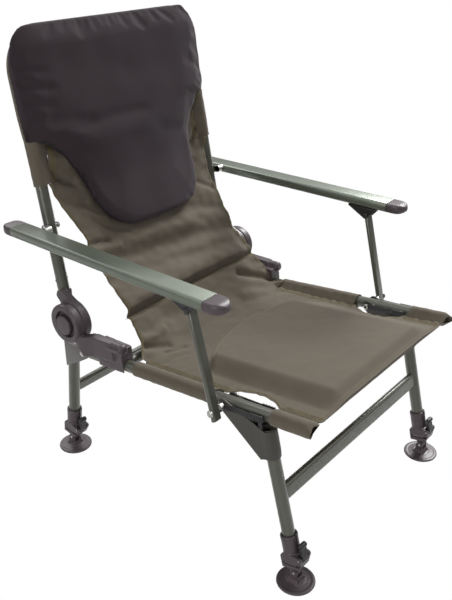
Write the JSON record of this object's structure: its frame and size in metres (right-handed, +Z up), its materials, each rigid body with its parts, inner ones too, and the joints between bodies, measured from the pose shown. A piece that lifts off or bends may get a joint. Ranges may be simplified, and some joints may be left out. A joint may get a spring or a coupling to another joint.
{
  "type": "carp fishing chair",
  "caption": "Low reclining carp fishing chair: folding tube frame on adjustable mud feet, aluminium armrests and a fabric seat and back with a padded head cover.",
  "frame": {"origin": "on the floor, under the middle of the chair's overall box", "axes": "+X to the sitter's left, +Y to the back of the chair, +Z up"},
  "size_m": [0.638, 0.7752, 0.9336],
  "materials": {
    "frame_paint": "satin olive-green powder coat",
    "arm_aluminium": "green-grey satin anodised",
    "dark_plastic": "moulded, brownish dark grey, satin",
    "black_plastic": "moulded, black, satin",
    "zinc_steel": "bright zinc plate",
    "bracket_steel": "pressed steel, dull grey",
    "olive_fabric": "woven polyester, olive brown",
    "pad_fabric": "padded peached cloth, near black"
  },
  "bodies": {
    "seat_frame": {"seat_cross_tube": "frame_paint", "seat_fabric": "olive_fabric", "lumbar_fabric": "olive_fabric", "seat_rail_right": "frame_paint", "hinge_lower_arm_right": "dark_plastic", "hinge_bolt_right": "zinc_steel", "front_pivot_bolt_right": "zinc_steel", "seat_rail_left": "frame_paint", "hinge_lower_arm_left": "dark_plastic", "hinge_bolt_left": "zinc_steel", "front_pivot_bolt_left": "zinc_steel"},
    "backrest": {"backrest_top_bow": "frame_paint", "backrest_fabric": "olive_fabric", "head_pad": "pad_fabric", "backrest_tube_right": "frame_paint", "hinge_upper_socket_right": "dark_plastic", "armrest_rear_pin_right": "zinc_steel", "backrest_tube_left": "frame_paint", "hinge_upper_socket_left": "dark_plastic", "armrest_rear_pin_left": "zinc_steel"},
    "armrest_right": {"armrest_profile_right": "arm_aluminium", "armrest_front_cap_right": "dark_plastic", "armrest_rear_cap_right": "dark_plastic", "armrest_bracket_right": "black_plastic", "armrest_front_pin_right": "zinc_steel"},
    "arm_bar_right": {"arm_link_right": "frame_paint"},
    "armrest_left": {"armrest_profile_left": "arm_aluminium", "armrest_front_cap_left": "dark_plastic", "armrest_rear_cap_left": "dark_plastic", "armrest_bracket_left": "black_plastic", "armrest_front_pin_left": "zinc_steel"},
    "arm_bar_left": {"arm_link_left": "frame_paint"},
    "front_legs": {"front_crossbar": "frame_paint", "front_leg_tube_right": "frame_paint", "front_leg_bracket_right": "dark_plastic", "front_leg_clip_right": "black_plastic", "front_leg_lock_right": "dark_plastic", "front_leg_tube_left": "frame_paint", "front_leg_bracket_left": "dark_plastic", "front_leg_clip_left": "black_plastic", "front_leg_lock_left": "dark_plastic"},
    "rear_legs": {"rear_crossbar": "frame_paint", "rear_leg_tube_right": "frame_paint", "rear_leg_bracket_right": "bracket_steel", "rear_leg_lock_right": "dark_plastic", "rear_leg_tube_left": "frame_paint", "rear_leg_bracket_left": "bracket_steel", "rear_leg_lock_left": "dark_plastic"},
    "front_lever_right": {"front_lock_lever_right": "black_plastic"},
    "front_extension_right": {"front_leg_extension_right": "frame_paint"},
    "front_foot_right": {"front_foot_disc_right": "dark_plastic"},
    "front_lever_left": {"front_lock_lever_left": "black_plastic"},
    "front_extension_left": {"front_leg_extension_left": "frame_paint"},
    "front_foot_left": {"front_foot_disc_left": "dark_plastic"},
    "rear_lever_right": {"rear_lock_lever_right": "black_plastic"},
    "rear_extension_right": {"rear_leg_extension_right": "frame_paint"},
    "rear_foot_right": {"rear_foot_disc_right": "dark_plastic"},
    "rear_lever_left": {"rear_lock_lever_left": "black_plastic"},
    "rear_extension_left": {"rear_leg_extension_left": "frame_paint"},
    "rear_foot_left": {"rear_foot_disc_left": "dark_plastic"}
  },
  "joints": [
    {"name": "recline", "type": "hinge", "parent": "seat_frame", "child": "backrest", "pos_m": [0, 0.23079, 0.36301], "axis": [-1, 0, 0], "range_deg": [-94, 35], "deforming": ["lumbar_fabric"]},
    {"name": "arm_bar_swing_right", "type": "hinge", "parent": "seat_frame", "child": "arm_bar_right", "pos_m": [-0.29, -0.18407, 0.3368], "axis": [-1, 0, 0], "range_deg": [-94, 35]},
    {"name": "armrest_pivot_right", "type": "hinge", "parent": "backrest", "child": "armrest_right", "pos_m": [-0.27, 0.2812, 0.55419], "axis": [-1, 0, 0], "range_deg": [-35, 94]},
    {"name": "arm_bar_swing_left", "type": "hinge", "parent": "seat_frame", "child": "arm_bar_left", "pos_m": [0.29, -0.18407, 0.3368], "axis": [-1, 0, 0], "range_deg": [-94, 35]},
    {"name": "armrest_pivot_left", "type": "hinge", "parent": "backrest", "child": "armrest_left", "pos_m": [0.27, 0.2812, 0.55419], "axis": [-1, 0, 0], "range_deg": [-35, 94]},
    {"name": "front_leg_fold", "type": "hinge", "parent": "seat_frame", "child": "front_legs", "pos_m": [0, -0.18407, 0.3368], "axis": [-1, 0, 0], "range_deg": [-75, 0]},
    {"name": "rear_leg_fold", "type": "hinge", "parent": "seat_frame", "child": "rear_legs", "pos_m": [0, 0.2129, 0.28764], "axis": [1, 0, 0], "range_deg": [-100, 0]},
    {"name": "front_leg_length_right", "type": "slide", "parent": "front_legs", "child": "front_extension_right", "axis": [0, -0.2534, -0.9674], "range_m": [0, 0.1]},
    {"name": "front_lever_swing_right", "type": "hinge", "parent": "front_legs", "child": "front_lever_right", "pos_m": [-0.25, -0.36412, 0.07103], "axis": [1, 0, 0], "range_deg": [0, 90]},
    {"name": "front_foot_tilt_right", "type": "hinge", "parent": "front_extension_right", "child": "front_foot_right", "pos_m": [-0.25, -0.35007, 0.026], "axis": [1, 0, 0], "range_deg": [-20, 20]},
    {"name": "front_leg_length_left", "type": "slide", "parent": "front_legs", "child": "front_extension_left", "axis": [0, -0.2534, -0.9674], "range_m": [0, 0.1]},
    {"name": "front_lever_swing_left", "type": "hinge", "parent": "front_legs", "child": "front_lever_left", "pos_m": [0.25, -0.36412, 0.07103], "axis": [1, 0, 0], "range_deg": [0, 90]},
    {"name": "front_foot_tilt_left", "type": "hinge", "parent": "front_extension_left", "child": "front_foot_left", "pos_m": [0.25, -0.35007, 0.026], "axis": [1, 0, 0], "range_deg": [-20, 20]},
    {"name": "rear_leg_length_right", "type": "slide", "parent": "rear_legs", "child": "rear_extension_right", "axis": [0, 0.1261, -0.992], "range_m": [0, 0.1]},
    {"name": "rear_lever_swing_right", "type": "hinge", "parent": "rear_legs", "child": "rear_lever_right", "pos_m": [-0.25, 0.26008, 0.06253], "axis": [1, 0, 0], "range_deg": [0, 90]},
    {"name": "rear_foot_tilt_right", "type": "hinge", "parent": "rear_extension_right", "child": "rear_foot_right", "pos_m": [-0.25, 0.28993, 0.026], "axis": [1, 0, 0], "range_deg": [-20, 20]},
    {"name": "rear_leg_length_left", "type": "slide", "parent": "rear_legs", "child": "rear_extension_left", "axis": [0, 0.1261, -0.992], "range_m": [0, 0.1]},
    {"name": "rear_lever_swing_left", "type": "hinge", "parent": "rear_legs", "child": "rear_lever_left", "pos_m": [0.25, 0.26008, 0.06253], "axis": [1, 0, 0], "range_deg": [0, 90]},
    {"name": "rear_foot_tilt_left", "type": "hinge", "parent": "rear_extension_left", "child": "rear_foot_left", "pos_m": [0.25, 0.28993, 0.026], "axis": [1, 0, 0], "range_deg": [-20, 20]}
  ],
  "couplings": [
    {"joint": "arm_bar_swing_right", "follows": "recline", "ratio": 1},
    {"joint": "armrest_pivot_right", "follows": "recline", "ratio": -1},
    {"joint": "arm_bar_swing_left", "follows": "recline", "ratio": 1},
    {"joint": "armrest_pivot_left", "follows": "recline", "ratio": -1}
  ]
}
